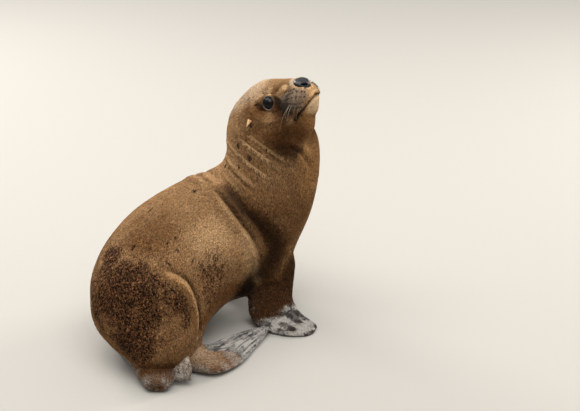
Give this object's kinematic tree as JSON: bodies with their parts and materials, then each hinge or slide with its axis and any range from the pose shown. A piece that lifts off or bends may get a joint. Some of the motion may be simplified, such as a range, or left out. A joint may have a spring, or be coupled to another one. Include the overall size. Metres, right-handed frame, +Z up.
{
  "type": "sea lion model",
  "caption": "Life-size still model of a young sea lion, sitting with its body curled, its head raised and turned, and its flippers spread on the floor.",
  "frame": {"origin": "the middle of the bounding box's base, on the floor under the body", "axes": "+X along the trunk, from the rump towards the chest; +Y to the animal's left; +Z up from the floor"},
  "size_m": [0.6454, 0.4388, 0.64],
  "materials": {
    "coat": "short flat fur, tan brown to dark brown",
    "flipper_skin": "bare, ridged charcoal skin, dusted grey",
    "nose_skin": "bare, damp black skin",
    "eye": "wet, very dark brown",
    "claw": "dull dark horn",
    "whisker": "stiff pale and dark hairs"
  },
  "bodies": {
    "root": {"head": "coat", "neck": "coat", "trunk": "coat", "tail": "coat", "nose_pad": "nose_skin", "eye_right": "eye", "eye_left": "eye", "ear_right": "coat", "ear_left": "coat", "fore_flipper_right": "flipper_skin", "fore_flipper_left": "flipper_skin", "hind_flipper_right": "flipper_skin", "hind_flipper_left": "flipper_skin"}
  },
  "joints": []
}
